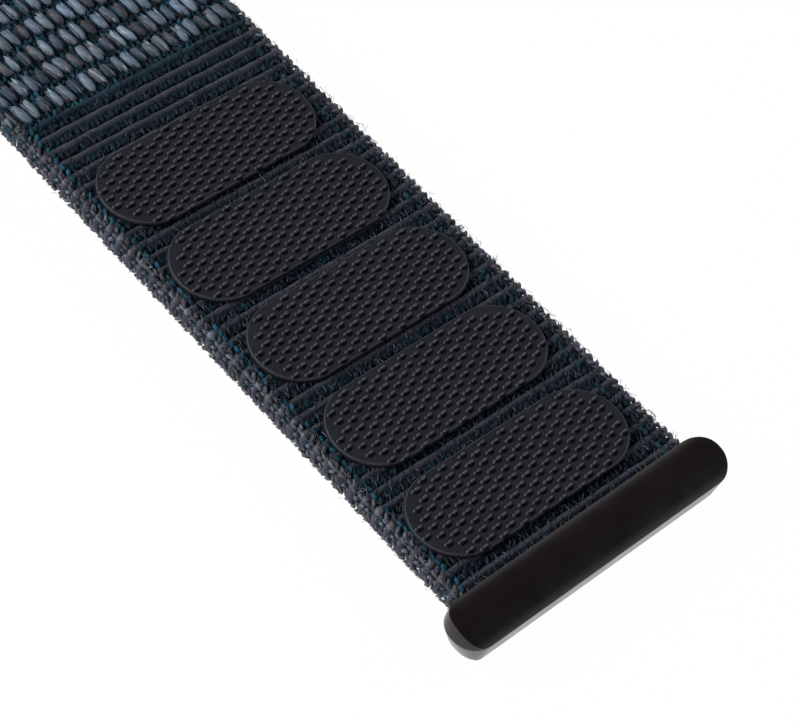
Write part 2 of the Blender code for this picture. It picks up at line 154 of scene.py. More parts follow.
class Socket:
    """A node's output that can be used in sums."""

    __add__ = summed("ADD")
    __radd__ = summed("ADD", swapped=True)
    __sub__ = summed("SUBTRACT")
    __rsub__ = summed("SUBTRACT", swapped=True)
    __mul__ = summed("MULTIPLY")
    __rmul__ = summed("MULTIPLY", swapped=True)
    __truediv__ = summed("DIVIDE")

    def __init__(self, graph, end):
        self.graph = graph
        self.end = end


class Graph:
    """Short calls for the nodes of one tree. A value may be a number, a vector or a Socket."""

    def __init__(self, tree):
        self.tree = tree

    def feed(self, end, value):
        if value is None:
            return
        if isinstance(value, Socket):
            self.tree.links.new(value.end, end)
        else:
            end.default_value = value

    def node(self, kind, *values, out=None, **named):
        """Adds a node. Named values are its settings, or else its inputs."""
        made = self.tree.nodes.new(kind)
        inputs = {}
        for key, value in named.items():
            if key in made.bl_rna.properties:
                setattr(made, key, value)
            else:
                inputs[key.replace("_", " ")] = value
        ends = [end for end in made.inputs if end.enabled]
        for end, value in zip(ends, values):
            self.feed(end, value)
        for name, value in inputs.items():
            self.feed(next(end for end in ends if end.name == name), value)
        results = [end for end in made.outputs if end.enabled]
        if out is not None:
            results = [end for end in results if end.name == out]
        return Socket(self, results[0]) if results else None

    def geo(self, kind, *values, **named):
        return self.node("GeometryNode" + kind, *values, **named)

    def math(self, operation, a, b=None, c=None):
        return self.node("ShaderNodeMath", a, b, c, operation=operation)

    def vector(self, operation, a, b=None):
        return self.node("ShaderNodeVectorMath", a, b, operation=operation)

    def scaled(self, vector, factor):
        return self.node("ShaderNodeVectorMath", Vector=vector, Scale=factor, operation="SCALE")

    def combine(self, x, y, z):
        return self.node("ShaderNodeCombineXYZ", x, y, z)

    def part(self, vector, axis):
        return self.node("ShaderNodeSeparateXYZ", vector, out=axis)

    def span(self, value, low, high, to_low=0.0, to_high=1.0, smooth=False):
        kind = "SMOOTHSTEP" if smooth else "LINEAR"
        return self.node("ShaderNodeMapRange", value, low, high, to_low, to_high, interpolation_type=kind)

    def clamp(self, value, low, high):
        return self.math("MINIMUM", self.math("MAXIMUM", value, low), high)

    def noise(self, vector, scale, detail=2.0):
        return self.node("ShaderNodeTexNoise", Vector=vector, Scale=scale, Detail=detail, out="Fac")

    def mix(self, factor, a, b):
        return self.node("ShaderNodeMix", factor, a, b, data_type="RGBA")

    def mottled(self, mask, dark, light):
        """One of two near colours, by a noise's value."""
        return self.mix(self.span(mask, 0.3, 0.7), (*dark, 1), (*light, 1))

    def store(self, geometry, name, value, kind="FLOAT"):
        made = self.geo("StoreNamedAttribute", geometry, data_type=kind, domain="POINT")
        self.feed(made.end.node.inputs["Name"], name)
        self.feed(next(end for end in made.end.node.inputs if end.enabled and end.name == "Value"), value)
        return made

    def finish(self, *ends):
        self.node("NodeGroupOutput", *ends)
        return self.tree

    def join(self, parts):
        joined = self.geo("JoinGeometry")
        for part in parts:
            self.tree.links.new(part.end, joined.end.node.inputs[0])
        return joined


def named_sockets(text):
    """Pairs of (name, socket type) from text such as "Float: Start, Pitch; Int: Rows"."""
    found = []
    for part in text.split(";"):
        kind, names = part.split(":")
        found += [(name.strip(), "NodeSocket" + kind.strip()) for name in names.split(",")]
    return found


def node_group(kind, name, inputs, outputs):
    """A group with named inputs and outputs; returns its graph and the inputs' sockets."""
    tree = bpy.data.node_groups.new(name, kind)
    for in_out, text in (("OUTPUT", outputs), ("INPUT", inputs)):
        for label, socket_type in named_sockets(text):
            tree.interface.new_socket(label, in_out=in_out, socket_type=socket_type)
    graph = Graph(tree)
    entry = tree.nodes.new("NodeGroupInput")
    given = {label: Socket(graph, entry.outputs[label]) for label, socket_type in named_sockets(inputs)}
    return graph, given


def geometry_tree(name, inputs):
    return node_group("GeometryNodeTree", name, inputs, "Geometry: Geometry")


def placed(name, data):
    """A new object in the scene."""
    made = bpy.data.objects.new(name, data)
    bpy.context.scene.collection.objects.link(made)
    return made


def run_tree(name, tree, values):
    """A plain mesh object of what a geometry tree makes with these input values."""
    seed = placed(name + "_seed", bpy.data.meshes.new(name + "_seed"))
    modifier = seed.modifiers.new("shape", "NODES")
    modifier.node_group = tree
    for item in tree.interface.items_tree:
        if item.in_out == "INPUT" and item.name in values:
            modifier[item.identifier] = values[item.name]
    seed.update_tag()
    graph = bpy.context.evaluated_depsgraph_get()
    mesh = bpy.data.meshes.new_from_object(seed.evaluated_get(graph))
    seed.modifiers.clear()
    bpy.data.objects.remove(seed)
    mesh.name = name
    return placed(name, mesh)


# Materials


def yarn_grain_group():
    """Filaments that run along a yarn's own X and twist round it: a streak mask and a height."""
    graph, given = node_group(
        "ShaderNodeTree", "yarn grain", "Vector: Vector; Float: Filaments, Twist", "Float: Streaks, Height"
    )
    x, y, z = (graph.part(given["Vector"], axis) for axis in "XYZ")
    turned = graph.math("ARCTAN2", z, y) + x * given["Twist"]
    circle = graph.combine(x * 0.16, graph.math("COSINE", turned), graph.math("SINE", turned))
    height = graph.noise(graph.scaled(circle, given["Filaments"]), 1.0, 3.0)
    return graph.finish(graph.span(height, 0.3, 0.7), height)


def mottle_group():
    """Uneven colour of worn, dyed cloth at two sizes."""
    inputs = "Vector: Vector; Float: Coarse, Fine"
    graph, given = node_group("ShaderNodeTree", "mottle", inputs, "Float: Mask")
    coarse = graph.noise(given["Vector"], given["Coarse"], 3.0)
    fine = graph.noise(given["Vector"], given["Fine"], 4.0)
    return graph.finish(graph.span(coarse * 0.45 + fine * 0.55, 0.32, 0.68))


def new_material(name, **settings):
    """A material with a Principled shader, its uniform values set on the shader's own sockets."""
    made = bpy.data.materials.new(name)
    made.use_nodes = True
    graph = Graph(made.node_tree)
    shader = made.node_tree.nodes["Principled BSDF"]
    for key, value in settings.items():
        shader.inputs[key.replace("_", " ")].default_value = value
    return made, graph, shader


def dress(graph, shader, bump, **looks):
    """Feeds the shader's sockets, and its normal from a bump of (strength, distance, height)."""
    strength, distance, height = bump
    looks["Normal"] = graph.node("ShaderNodeBump", Strength=strength, Distance=distance, Height=height)
    for name, value in looks.items():
        graph.feed(shader.inputs[name.replace("_", " ")], value)


def attribute(graph, name, out):
    return graph.node("ShaderNodeAttribute", attribute_name=name, out=out)


def object_place(graph):
    return graph.node("ShaderNodeTexCoord", out="Object")


def colour_ramp(graph, factor, stops):
    ramp = graph.node("ShaderNodeValToRGB", factor, out="Color")
    elements = ramp.end.node.color_ramp.elements
    elements[0].color = (*stops[0][1], 1.0)
    elements[1].color = (*stops[-1][1], 1.0)
    for place, colour in stops[1:-1]:
        elements.new(place).color = (*colour, 1.0)
    return ramp


def place_group(graph, tree, *values):
    """Adds a shader group with these inputs and returns its outputs."""
    group = graph.node("ShaderNodeGroup", node_tree=tree).end.node
    for end, value in zip(group.inputs, values):
        graph.feed(end, value)
    return [Socket(graph, end) for end in group.outputs]


def tinted(graph, colour, factor, low, high):
    """A colour made darker or lighter by a mask."""
    return graph.scaled(colour, graph.span(factor, 0.0, 1.0, low, high))


def yarn_material(grain):
    """Dyed nylon yarn: each piece of yarn carries its dye and its own coordinates."""
    made, graph, shader = new_material("dyed_yarn", Roughness=0.5, Sheen_Weight=0.04, Sheen_Roughness=0.5)
    dye = attribute(graph, "dye", "Fac")
    streaks, height = place_group(graph, grain, attribute(graph, "yarn", "Vector"), 5.0, 0.7)
    colour = tinted(graph, colour_ramp(graph, dye, DYES), streaks, 0.35, 1.4)
    colour = tinted(graph, colour, attribute(graph, "tone", "Fac"), 0.6, 1.3)
    shine = graph.span(dye, 0.55, 0.9, 0.10, 0.45)
    dress(graph, shader, (0.6, 0.00006, height), Base_Color=colour, Specular_IOR_Level=shine)
    return made


def core_material(mottle):
    """The woven ground: mauve-grey ribs of slanted fibres, with dark teal grooves between them."""
    made, graph, shader = new_material(
        "woven_ground", Roughness=0.7, Sheen_Weight=0.04, Sheen_Roughness=0.5, Specular_IOR_Level=0.15
    )
    flat = attribute(graph, "weave", "Vector")
    (mask,) = place_group(graph, mottle, flat, 700.0, 6000.0)
    along, across = graph.part(flat, "X"), graph.part(flat, "Y")
    slanted = graph.combine(across * 9000.0 + along * 5000.0, along * 1700.0, 0.0)
    fibres = graph.span(graph.noise(slanted, 1.0, 3.0), 0.3, 0.7)
    ribs = graph.mix(mask, (0.044, 0.049, 0.073, 1), (0.084, 0.085, 0.117, 1))
    grooves = graph.mix(mask, (0.013, 0.032, 0.050, 1), (0.021, 0.062, 0.092, 1))
    colour = graph.mix(graph.span(attribute(graph, "rib", "Fac"), 0.15, 0.9), grooves, ribs)
    colour = tinted(graph, colour, fibres, 0.55, 1.4)
    dress(graph, shader, (0.7, 0.0001, fibres + mask * 0.5), Base_Color=colour)
    return made


def hook_material():
    """The pads' nylon: satin on top, made paler on the hooks and the rim by a painted highlight, with painted
    shade down in the hollows.
    """
    made, graph, shader = new_material("hook_plastic", IOR=1.5)
    place = object_place(graph)
    uneven = graph.noise(place, 500.0, 3.0)
    grain = graph.noise(place, 16000.0, 2.0)
    base = graph.mottled(uneven, (0.0080, 0.0106, 0.0176), (0.0124, 0.0150, 0.0228))
    painted_highlight = attribute(graph, "painted_highlight", "Fac")
    hollow = attribute(graph, "hollow", "Fac")
    # Painted highlight: the hooks' tops and the pad's rim are coloured paler, standing in for the light they
    # catch.
    wear_and_painted_highlight = graph.mix(graph.span(painted_highlight, 0.1, 0.9), base, (0.080, 0.082, 0.097, 1))
    # Painted shade: the hollows are coloured near black, and their shine is lowered there too.
    colour = graph.mix(graph.span(hollow, 0.05, 0.9), wear_and_painted_highlight, (0.0022, 0.0030, 0.0052, 1))
    shine = graph.span(hollow, 0.0, 0.7, 0.42, 0.14)
    rough = graph.span(uneven, 0.3, 0.7, 0.60, 0.70)
    dress(
        graph, shader, (0.2, 0.00002, grain), Base_Color=colour, Specular_IOR_Level=shine, Roughness=rough
    )
    return made


def bar_material():
    """The bar's moulding: nearly black with a warm cast, satin, with faint lines along its length."""
    made, graph, shader = new_material("bar_plastic", IOR=1.5)
    place = object_place(graph)
    uneven = graph.noise(place, 350.0, 3.0)
    drawn = graph.noise(graph.vector("MULTIPLY", place, (5000.0, 60.0, 5000.0)), 1.0, 2.0)
    colour = graph.mottled(uneven, (0.0080, 0.0046, 0.0066), (0.0106, 0.0064, 0.0086))
    rough = graph.span(uneven, 0.3, 0.7, 0.20, 0.28)
    dress(graph, shader, (0.12, 0.00002, drawn), Base_Color=colour, Roughness=rough)
    return made


def steel_material(name, colour, roughness, brush):
    """Brushed steel: fine lines that run along Y, a little uneven in shine."""
    made, graph, shader = new_material(name, Metallic=1.0)
    stretched = graph.vector("MULTIPLY", object_place(graph), (brush, brush * 0.02, brush))
    lines = graph.noise(stretched, 1.0, 2.0)
    tone = graph.mix(lines, (*[c * 0.85 for c in colour], 1), (*[min(1.0, c * 1.1) for c in colour], 1))
    rough = graph.span(lines, 0.3, 0.7, roughness - 0.06, roughness + 0.08)
    dress(graph, shader, (0.1, 0.00002, lines), Base_Color=tone, Roughness=rough)
    return made


# Woven band

CLOTH_INPUTS = "Float: Start, Pitch; Int: Rows, First Row"
# A rib's section is a wave: its phase wavers by a share of the pitch, and it rises between two of its values
RIB_WAVER = 0.22
RIB_LOW, RIB_HIGH = -0.15, 0.85
# Share of the ribs' light colour that the ground keeps past the ribbed zone
COVERED = 0.2
GROUND_FUZZ = 0.16 * MM


def ground_branch(graph, given, material):
    """The band's closed body, with a rib for each row all round it."""
    start_x = TIP - given["Start"]
    end_x = start_x - given["Rows"] * given["Pitch"]
    middle = BAND_THICK / 2
    ends = [graph.combine(x, 0.0, middle) for x in (start_x, end_x)]
    line = graph.geo("CurvePrimitiveLine", *ends)
    line = graph.geo("ResampleCurve", line, None, given["Rows"] * STEPS_A_RIB + 1.0)
    outline = graph.geo("CurvePrimitiveQuadrilateral", BAND_WIDTH, BAND_THICK)
    outline = graph.geo("FilletCurve", outline, Count=6, Radius=EDGE_RADIUS, mode="POLY")
    outline = graph.geo("ResampleCurve", outline, None, POINTS_AROUND)
    body = graph.geo("CurveToMesh", line, outline, Fill_Caps=True)

    place = graph.geo("InputPosition")
    x, y, z = (graph.part(place, axis) for axis in "XYZ")
    distance = TIP - x
    inner_y = BAND_WIDTH / 2 - EDGE_RADIUS
    inner_z = middle - EDGE_RADIUS
    height = z - middle
    out_y = y - graph.clamp(y, -inner_y, inner_y)
    out_z = height - graph.clamp(height, -inner_z, inner_z)
    outward = graph.vector("NORMALIZE", graph.combine(0.0, out_y, out_z))

    waver = graph.noise(graph.combine(distance * 1.4, y, z * 0.3), 900.0) - 0.5
    phase = (distance - given["Start"]) / given["Pitch"] + waver * RIB_WAVER
    wave = graph.math("COSINE", (phase - 0.5) * (2 * math.pi))
    rib = graph.span(wave, RIB_LOW, RIB_HIGH, smooth=True)
    fuzz = graph.noise(graph.combine(distance, y, z), 2600.0, 3.0) - 0.5
    shift = (rib - 1.0) * GROOVE_DEPTH + fuzz * GROUND_FUZZ
    bare = graph.math("LESS_THAN", distance, PATTERN_START - RIB_PITCH)
    body = graph.store(body, "rib", rib * (bare * (1 - COVERED) + COVERED))
    body = graph.store(body, "weave", graph.combine(distance, y, z), "FLOAT_VECTOR")
    body = graph.geo("SetPosition", body, Offset=graph.scaled(outward, shift))
    return graph.geo("SetMaterial", body, None, material)


def own_coordinates(graph, made):
    """A bit of yarn that keeps its own coordinates for its material."""
    return graph.store(made, "yarn", graph.geo("InputPosition"), "FLOAT_VECTOR")


def bead(graph, segments, rings):
    """A short rounded piece of yarn along X."""
    made = graph.geo("MeshUVSphere", segments, rings, 1.0)
    turn = graph.node("FunctionNodeEulerToRotation", (0.0, math.pi / 2, 0.0))
    return own_coordinates(graph, graph.geo("Transform", made, Rotation=turn))


def strand(graph):
    """One loose bent filament along X, three-sided."""
    line = graph.geo(
        "CurveQuadraticBezier", 4, (-0.5, 0.0, 0.0), (0.1, 0.25, 0.5), (0.5, -0.05, 0.15)
    )
    outline = graph.geo("CurvePrimitiveCircle", Resolution=3, Radius=0.11)
    return own_coordinates(graph, graph.geo("CurveToMesh", line, outline, Fill_Caps=True))


BITS_INPUTS = (
    "Geometry: Shape; Int: Rows, First Row, Columns, Seed; Vector: Place Jitter, Turn, Turn Jitter, Size;"
    "Float: Start, Pitch, Spread, Middle, Odd Shift, Wrap At, Phase, Column Phase, Odd Phase, Level,"
    "Size Jitter, Dye, Dye Range, Dye Power, Thick Until"
)
# Every third row is in place and the two after it are shifted; rows may be numbered from as low as this
SHIFT_CYCLE = 3.0
LOWEST_ROW = -3000.0
# A bit's random key: rows below nought, and the most columns and layers that a row can have
ROWS_BELOW = 500.0
MOST_COLUMNS = 128.0
MOST_LAYERS = 64.0
# Share of the bits that a layer keeps past the place where it thins out
THIN_SHARE = 0.12


def laid_bits_tree(yarn):
    """Lays one shape in rows along the band and columns across it, each place with its own small errors."""
    graph, given = geometry_tree("laid bits", BITS_INPUTS)
    index = graph.geo("InputIndex")
    row = graph.math("FLOOR", (index + 0.5) / given["Columns"])
    column = index - row * given["Columns"]
    whole_row = row + given["First Row"]
    odd = graph.math("MINIMUM", graph.math("MODULO", whole_row - LOWEST_ROW, SHIFT_CYCLE), 1.0)
    own = ((whole_row + ROWS_BELOW) * MOST_COLUMNS + column) * MOST_LAYERS + given["Seed"]

    def uneven(reach, number):
        low = graph.scaled(reach, -1.0)
        return graph.node("FunctionNodeRandomValue", low, reach, own, number, data_type="FLOAT_VECTOR")

    def chance(number):
        return graph.node("FunctionNodeRandomValue", 0.0, 1.0, own, number, data_type="FLOAT")

    y = (column - (given["Columns"] - 1.0) * 0.5) * given["Spread"] + given["Middle"]
    y = graph.math("WRAP", y + odd * given["Odd Shift"], given["Wrap At"], given["Wrap At"] * -1.0)
    phase = row + given["Phase"] + column * given["Column Phase"] + odd * given["Odd Phase"]
    distance = given["Start"] + phase * given["Pitch"]
    place = graph.combine(TIP - distance, y, given["Level"])
    place = graph.vector("ADD", place, uneven(given["Place Jitter"], 1))
    points = graph.geo("Points", given["Rows"] * given["Columns"], place)
    dye = given["Dye"] + graph.math("POWER", chance(2), given["Dye Power"]) * given["Dye Range"]
    points = graph.store(points, "dye", dye)
    points = graph.store(points, "tone", chance(3))
    turn = graph.vector("ADD", given["Turn"], uneven(given["Turn Jitter"], 4))
    size = graph.scaled(given["Size"], chance(5) * given["Size Jitter"] + 1.0)
    thick = graph.math("LESS_THAN", distance, given["Thick Until"])
    kept = graph.math("LESS_THAN", chance(6), graph.math("MAXIMUM", thick, THIN_SHARE))
    laid = graph.geo(
        "InstanceOnPoints", points, Selection=kept, Instance=given["Shape"],
        Rotation=graph.node("FunctionNodeEulerToRotation", turn), Scale=size,
    )
    return graph.finish(graph.geo("SetMaterial", laid, None, yarn))


# What a layer of bits is unless it says otherwise: first lengths, in millimetres
LAYER_LENGTHS = {
    "Spread": 0.0, "Middle": 0.0, "Odd_Shift": 0.0, "Wrap_At": 50.0, "Place_Jitter": (0.0, 0.0, 0.0),
    "Size": (1.0, 1.0, 1.0),
}
LAYER_REST = {
    "Columns": 1, "Phase": 0.5, "Column_Phase": 0.0, "Odd_Phase": 0.0, "Turn": (0.0, 0.0, 0.0),
    "Turn_Jitter": (0.0, 0.0, 0.0), "Size_Jitter": 0.0, "Dye_Power": 1.0, "Thick_Until": 1.0,
}


def in_metres(length):
    return tuple(part * MM for part in length) if isinstance(length, tuple) else length * MM


class Loom:
    """Lays bits of yarn in one tree of cloth, in that tree's rows."""

    def __init__(self, graph, given, bits):
        self.graph = graph
        self.given = given
        self.bits = bits
        self.layers = []

    def lay(self, shape, level, dye, **own):
        """Adds one layer of a shape at a level in millimetres, its dyes from a low place to a high one."""
        values = {**LAYER_LENGTHS, **LAYER_REST, **own}
        for name in LAYER_LENGTHS:
            values[name] = in_metres(values[name])
        for name in self.given:
            values[name] = self.given[name]
        made = self.graph.geo(
            "Group", node_tree=self.bits, Shape=shape, Level=level * MM, Dye=dye[0],
            Dye_Range=dye[1] - dye[0], Seed=len(self.layers) + 1, **values,
        )
        self.layers.append(made)


THICK = BAND_THICK / MM
WIDE = BAND_WIDTH / MM
WARP_EDGE = 2.2
# Half sizes of the crossings of warp, and how far each kind slants
WARP_KINDS = (
    ((0.31, 0.15, 0.13), -0.15),
    ((0.20, 0.10, 0.16), -0.9),
)


def warp_bits(loom, shape, faces):
    """Short slanted crossings of dark warp in each groove: a line of long ones with small ones among them."""
    for face in faces:
        for half, slant in WARP_KINDS:
            loom.lay(
                shape, THICK * face + (0.5 - face) * 0.42, (0.05, 0.32), Dye_Power=1.8,
                Columns=WARP_COLUMNS, Spread=(WIDE - WARP_EDGE) / (WARP_COLUMNS - 1), Phase=0.0,
                Place_Jitter=(0.08 - slant * 0.2, 0.12, 0.02), Turn=(0.0, 0.0, slant),
                Turn_Jitter=(0.0, 0.0, 0.35), Size=half, Size_Jitter=0.4,
            )


# Each line of weft at an edge: its inset, level as a share of the thickness, phase, tilt, slant and half size
SELVEDGE_LINES = (
    (0.62, 0.93, 0.10, 0.0, 0.75, (0.30, 0.14, 0.13)),
    (0.34, 0.86, 0.35, 0.5, -0.40, (0.30, 0.14, 0.14)),
    (0.20, 0.66, 0.10, -0.7, 0.15, (0.28, 0.12, 0.15)),
    (0.15, 0.42, 0.35, 0.7, 0.0, (0.28, 0.12, 0.15)),
    (0.20, 0.20, 0.10, -0.7, 0.15, (0.28, 0.12, 0.15)),
    (0.50, 0.05, 0.35, 0.0, -0.6, (0.30, 0.14, 0.13)),
)


def selvedge(loom, shape, knob):
    """Weft that turns round the band's edges like a braid, with a soft knob at the end of each rib."""
    for side in (-1.0, 1.0):
        # The edge weft is dyed paler than the ribs' weft: partly its own colour, partly a painted rim light;
        # the +Y edge gets a little more, painted light for the shade on that side.
        darkest = 0.61 + 0.01 * side
        for inset, level, phase, tilt, slant, half in SELVEDGE_LINES:
            loom.lay(
                shape, THICK * level, (darkest, 0.765 + 0.015 * side), Columns=2,
                Middle=side * (WIDE / 2 - inset), Phase=phase, Column_Phase=0.5,
                Place_Jitter=(0.1, 0.07, 0.06), Turn=(0.0, tilt, side * slant),
                Turn_Jitter=(0.0, 0.3, 0.3), Size=half, Size_Jitter=0.4,
            )
        loom.lay(
            knob, THICK * 0.86, (darkest, 0.76 + 0.02 * side), Middle=side * (WIDE / 2 - 0.50),
            Place_Jitter=(0.08, 0.08, 0.05), Turn_Jitter=(0.2, 0.2, 0.3), Size=(0.27, 0.36, 0.24),
            Size_Jitter=0.3,
        )


def edge_fuzz(loom, shape):
    """Loose filaments that stand out from both edges."""
    for side in (-1.0, 1.0):
        # The pale dye of these filaments is partly their own colour and partly a painted rim light.
        loom.lay(
            shape, THICK * 0.58, (0.74, 0.98), Columns=FUZZ_COLUMNS, Middle=side * (WIDE / 2 - 0.30),
            Phase=0.5 / FUZZ_COLUMNS, Column_Phase=1.0 / FUZZ_COLUMNS, Place_Jitter=(0.1, 0.35, 1.0),
            Turn_Jitter=(3.1, 0.9, 1.2), Size=(0.24, 0.09, 0.09), Size_Jitter=0.8,
        )


def nap(loom, shape):
    """Short loose filaments over the ribs, thick round the pads and few beyond them."""
    for dye in ((0.12, 0.36), (0.58, 0.74)):
        loom.lay(
            shape, THICK - 0.05, dye, Columns=NAP_COLUMNS, Spread=(WIDE - 0.6) / NAP_COLUMNS,
            Place_Jitter=(RIB_PITCH / MM / 2, 0.2, 0.09), Turn=(0.0, 0.0, -0.35),
            Turn_Jitter=(0.6, 0.22, 0.6), Size=(0.34, 0.17, 0.17), Size_Jitter=0.7, Thick_Until=NAP_END,
        )


# The edge, the inset and the dyes of each line of stitches
STITCH_LINES = (
    (-1.0, 0.95, (0.24, 0.47)),
    (1.0, 1.75, (0.12, 0.38)),
)


def edge_stitches(loom, shape):
    """The line of bright stitches inside one edge, and duller ones inside the other."""
    for side, inset, dye in STITCH_LINES:
        for phase in (0.24, 0.74):
            loom.lay(
                shape, THICK - 0.07, dye, Middle=side * (WIDE / 2 - inset), Phase=phase, Odd_Phase=0.12,
                Place_Jitter=(0.06, 0.09, 0.02), Turn=(0.0, 0.0, -0.25), Turn_Jitter=(0.0, 0.0, 0.45),
                Size=(0.31, 0.16, 0.17), Size_Jitter=0.3,
            )


FLOAT_PAIRS = 7
FLOAT_REPEAT = 3.0
# The floats of one repeat: place across, half length, lowering and dyes
FLOAT_KINDS = (
    (-0.62, 0.98, -0.07, (0.76, 0.93)),
    (0.32, 0.98, -0.07, (0.79, 0.96)),
    (1.35, 0.88, -0.12, (0.57, 0.70)),
)
# The yarns of one float: place aside, half thickness, raising and change of dye. The raised middle yarn's
# lighter dye is a painted sheen along the float's top.
FLOAT_GRAINS = (
    (0.00, 0.34, 0.00, -0.05),
    (0.03, 0.10, 0.17, 0.08),
    (0.21, 0.10, 0.10, -0.06),
    (-0.21, 0.11, 0.10, -0.12),
)


def pattern_floats(loom, body_shape, grain_shape):
    """Rows of floats along the band: two bright and one dim in each repeat, shifted from row to row."""
    for place, half_length, lower, dye in FLOAT_KINDS:
        for aside, thickness, higher, brighter in FLOAT_GRAINS:
            loom.lay(
                body_shape if aside == 0.0 else grain_shape, THICK + lower + higher,
                (dye[0] + brighter, dye[1] + brighter), Columns=FLOAT_PAIRS, Spread=FLOAT_REPEAT,
                Middle=place + aside, Phase=0.4, Odd_Shift=FLOAT_REPEAT / 2,
                Wrap_At=FLOAT_PAIRS * FLOAT_REPEAT / 2, Place_Jitter=(0.12, 0.07, 0.03),
                Turn=(0.0, 0.0, 0.08), Turn_Jitter=(0.0, 0.0, 0.16),
                Size=(half_length * 0.90, thickness, 0.8 * thickness + 0.06), Size_Jitter=0.2,
            )


# The lines of crossings between two rows of floats: phase and dyes
BINDING_LINES = (
    (-0.30, (0.05, 0.33)),
    (-0.15, (0.18, 0.45)),
    (-0.01, (0.08, 0.40)),
)


def binding_bits(loom, shape):
    """Dark and teal crossings between the rows of floats."""
    for phase, dye in BINDING_LINES:
        loom.lay(
            shape, THICK - 0.17, dye, Columns=WARP_COLUMNS, Spread=(WIDE - 1.0) / WARP_COLUMNS,
            Phase=phase, Place_Jitter=(0.10, 0.12, 0.07), Turn=(0.0, 0.0, -0.25),
            Turn_Jitter=(0.0, 0.0, 0.55), Size=(0.26, 0.15, 0.16), Size_Jitter=0.4,
        )


def drape(graph, cloth):
    """Lifts the cloth where it lies over the open frame."""
    place = graph.geo("InputPosition")
    distance = TIP - graph.part(place, "X")
    rise = graph.span(distance, KNEE, FOLD_OUTER, smooth=True)
    fall = graph.span(distance, SEAT_END, WRAP_START, smooth=True)
    lift = TIP_FLOOR + rise * (RING_FLOOR - TIP_FLOOR) - fall * (RING_FLOOR - WRAP_FLOOR)
    return graph.geo("SetPosition", cloth, Offset=graph.combine(0.0, 0.0, lift))


def cloth_tree(patterned, ground, bits):
    """A stretch of cloth: its ribbed body, then all the yarn that shows on it."""
    graph, given = geometry_tree("patterned cloth" if patterned else "ribbed cloth", CLOTH_INPUTS)
    small = bead(graph, 5, 3)
    large = bead(graph, 7, 5)
    loose = strand(graph)
    loom = Loom(graph, given, bits)
    selvedge(loom, small, large)
    edge_fuzz(loom, loose)
    if patterned:
        pattern_floats(loom, large, small)
        binding_bits(loom, small)
        warp_bits(loom, small, (0.0,))
    else:
        warp_bits(loom, small, (1.0, 0.0))
        edge_stitches(loom, small)
        nap(loom, loose)
    cloth = graph.join([ground_branch(graph, given, ground)] + loom.layers)
    cloth = drape(graph, graph.geo("RealizeInstances", cloth))
    return graph.finish(graph.geo("SetShadeSmooth", cloth))


def band_joints():
    """The band's hinges from the tip to the far end, as (distance, joint, parent's node, child's node)."""
    owner = {}
    for body, nodes in frame["record"]["behaviour"]["bodies"].items():
        for node in nodes:
            if node.startswith("band_"):
                owner[body] = node
    found = []
    for joint in frame["joints"]:
        if joint["parent"] in owner and joint["child"] in owner:
            found.append((TIP - joint["pos_m"][0], joint, owner[joint["parent"]], owner[joint["child"]]))
    return sorted(found, key=lambda item: item[0])


def node_span(node):
    """Distances from the tip to the two ends of a node."""
    low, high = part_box(node)
    return TIP - high.x, TIP - low.x


def cloth_cut(distance):
    """The groove nearest to a distance, so that stretches of cloth meet in a groove."""
    pitch = RIB_PITCH if distance < PATTERN_START else ROW_PITCH
    return PATTERN_START + round((distance - PATTERN_START) / pitch) * pitch


# The last stretch of cloth stops this far before the end frame's rod
CLOTH_STOPS = 1.5 * ROW_PITCH
# Half the length that bends between two pads
PAD_GAP = 0.8 * MM


def woven_band(ground, yarn):
    """One stretch of cloth for each hinge, from the middle of one solid piece to the middle of the next."""
    bits = laid_bits_tree(yarn)
    trees = [cloth_tree(patterned, ground, bits) for patterned in (False, True)]
    hinges = band_joints()
    pad_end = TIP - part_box("hook_pad_5")[0].x
    for number, (distance, joint, parent_node, child_node) in enumerate(hinges):
        spans = [node_span(parent_node), node_span(child_node)]
        middles = sorted((a + b) / 2 for a, b in spans)
        start, end = cloth_cut(middles[0]), cloth_cut(middles[1])
        if number == 0:
            start = cloth_cut(BAR_INNER - RIB_PITCH)
        if number == len(hinges) - 1:
            end = cloth_cut(STRAP_END - CLOTH_STOPS)
        patterned = start > PATTERN_START - RIB_PITCH / 2
        pitch = ROW_PITCH if patterned else RIB_PITCH
        values = {
            "Start": start, "Pitch": pitch, "Rows": round((end - start) / pitch),
            "First Row": round((start - PATTERN_START) / pitch),
        }
        piece = run_tree("woven_" + child_node[len("band_"):], trees[patterned], values)
        blend_zone(piece, joint, distance, start, end, pad_end)
        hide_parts(child_node)
        if joint["name"] == "wrap_curl":
            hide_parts("band_ring_seat")


def blend_zone(piece, joint, distance, start, end, pad_end):
    """Works out where the stretch would turn: over its whole length, but only between the pads where it
    carries them. It bakes the piece's placement into its mesh; the turn itself is not set up.
    """
    if distance < pad_end:
        start, end = distance - PAD_GAP, distance + PAD_GAP
    level = joint["pos_m"][2]
    near, far = Vector((TIP - start, 0, level)), Vector((TIP - end, 0, level))
    parent_is_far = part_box(CHILD_BAND[joint["name"]])[0].x > joint["pos_m"][0] - 0.001
    first, last = (far, near) if parent_is_far else (near, far)
    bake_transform(piece)
    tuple(first)
    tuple(last)


LOOP_RADIUS = 2.1 * MM
LOOP_BORE = 1.1 * MM
LOOP_RIPPLE = 0.2 * MM
LOOP_STEPS = 132
LOOP_NECK = 1.6 * ROW_PITCH
# Where the cloth leaves the circle round the rod, and the shares of the outline at which its parts end
LOOP_LEAVES = math.radians(78)
LOOP_TOP, LOOP_TURN, LOOP_UNDER = 0.17, 0.77, 0.94
# Across the loop from edge to edge, as (share of its half width, drawn in)
LOOP_EDGE = (
    (-1.0, 0.45),
    (-0.99, 0.2),
    (-0.965, 0.05),
    (-0.93, 0.0),
    (0.93, 0.0),
    (0.965, 0.05),
    (0.99, 0.2),
    (1.0, 0.45),
)
